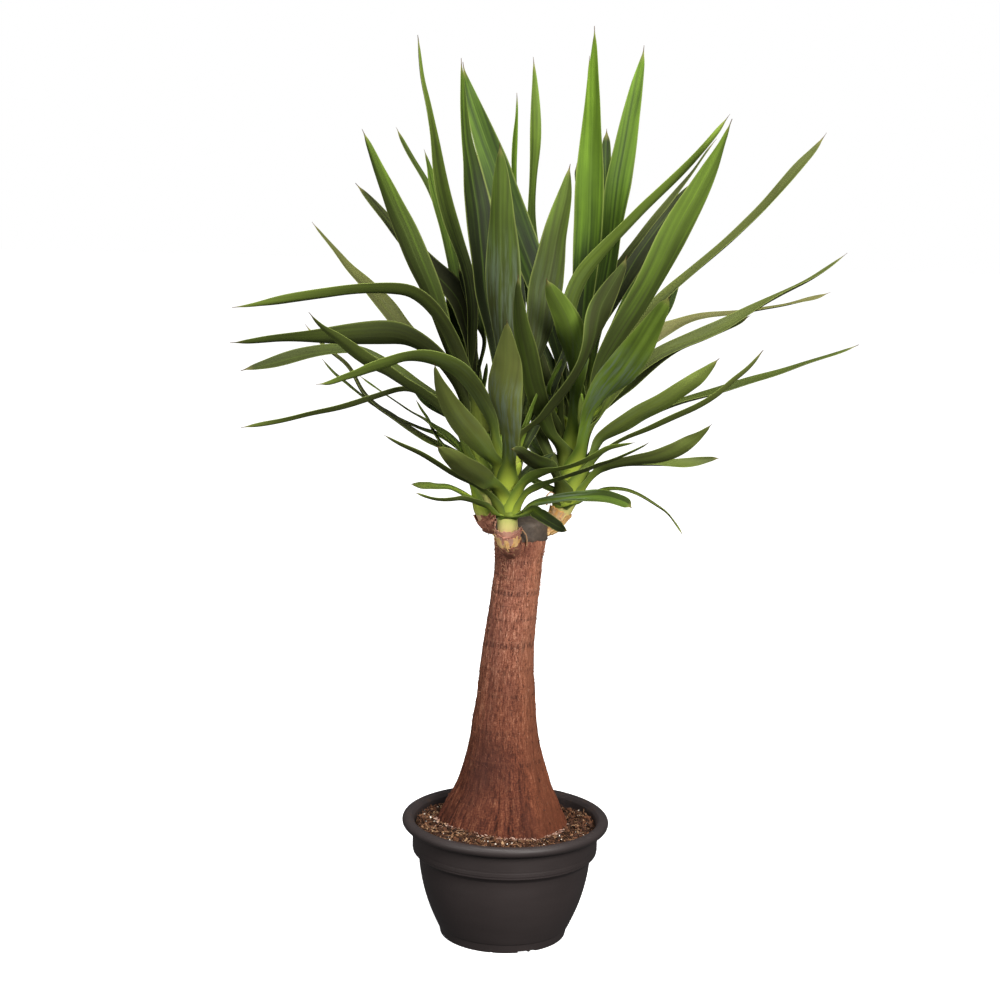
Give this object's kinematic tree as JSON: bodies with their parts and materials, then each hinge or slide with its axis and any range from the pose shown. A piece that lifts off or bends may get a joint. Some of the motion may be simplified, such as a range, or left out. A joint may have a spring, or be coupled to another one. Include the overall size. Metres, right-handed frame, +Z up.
{
  "type": "potted yucca",
  "caption": "Potted yucca: a thick bare flared trunk with leafy shoots of sword-shaped leaves, rooted in soil in a round dark plastic pot with a rolled rim.",
  "frame": {"origin": "middle of the pot's underside, on the surface that it stands on", "axes": "+Z up along the pot's axis; the pictured side faces -Y, with +X to its right"},
  "size_m": [0.6514, 0.4979, 0.9585],
  "materials": {
    "pot_plastic": "satin moulded plastic, dark anthracite",
    "potting_soil": "loose granular potting mix of bark, peat and pale grains",
    "bark": "rough reddish brown fibrous bark with ring cracks",
    "wound_wax": "matt grey-brown wound wax",
    "green_shoot": "smooth fleshy green stem",
    "leaf": "semi-gloss leathery leaf with fine lengthwise veins"
  },
  "bodies": {
    "root": {"pot": "pot_plastic", "soil": "potting_soil", "trunk": "bark", "wound_seal": "wound_wax", "shoot_left": "green_shoot", "shoot_front": "green_shoot", "shoot_right": "green_shoot", "leaf_left_01": "leaf", "leaf_left_02": "leaf", "leaf_left_03": "leaf", "leaf_left_04": "leaf", "leaf_left_05": "leaf", "leaf_left_06": "leaf", "leaf_left_08": "leaf", "leaf_left_13": "leaf", "leaf_left_t1": "leaf", "leaf_left_t2": "leaf", "leaf_left_t3": "leaf", "leaf_left_t4": "leaf", "leaf_left_t5": "leaf", "leaf_front_t6": "leaf", "leaf_front_t7": "leaf", "leaf_front_t8": "leaf", "leaf_front_07": "leaf", "leaf_front_12": "leaf", "leaf_front_14": "leaf", "leaf_front_15": "leaf", "leaf_front_16": "leaf", "leaf_front_17": "leaf", "leaf_front_m1": "leaf", "leaf_front_r7": "leaf", "leaf_front_r8": "leaf", "leaf_front_11": "leaf", "leaf_front_13": "leaf", "leaf_right_m3": "leaf", "leaf_right_t6": "leaf", "leaf_right_t10": "leaf", "leaf_right_t11": "leaf", "leaf_right_t12": "leaf", "leaf_right_t13": "leaf", "leaf_right_t16": "leaf", "leaf_right_t17": "leaf", "leaf_right_t18": "leaf", "leaf_right_t19": "leaf", "leaf_right_01": "leaf", "leaf_right_03": "leaf", "leaf_right_02": "leaf", "leaf_right_04": "leaf", "leaf_right_05": "leaf", "leaf_right_06": "leaf", "leaf_right_09": "leaf", "leaf_right_10": "leaf", "leaf_right_12": "leaf", "leaf_right_m2": "leaf", "leaf_right_m5": "leaf", "leaf_right_f1": "leaf", "leaf_left_b1": "leaf", "leaf_left_b2": "leaf", "leaf_right_b3": "leaf", "leaf_right_b4": "leaf"}
  },
  "joints": []
}
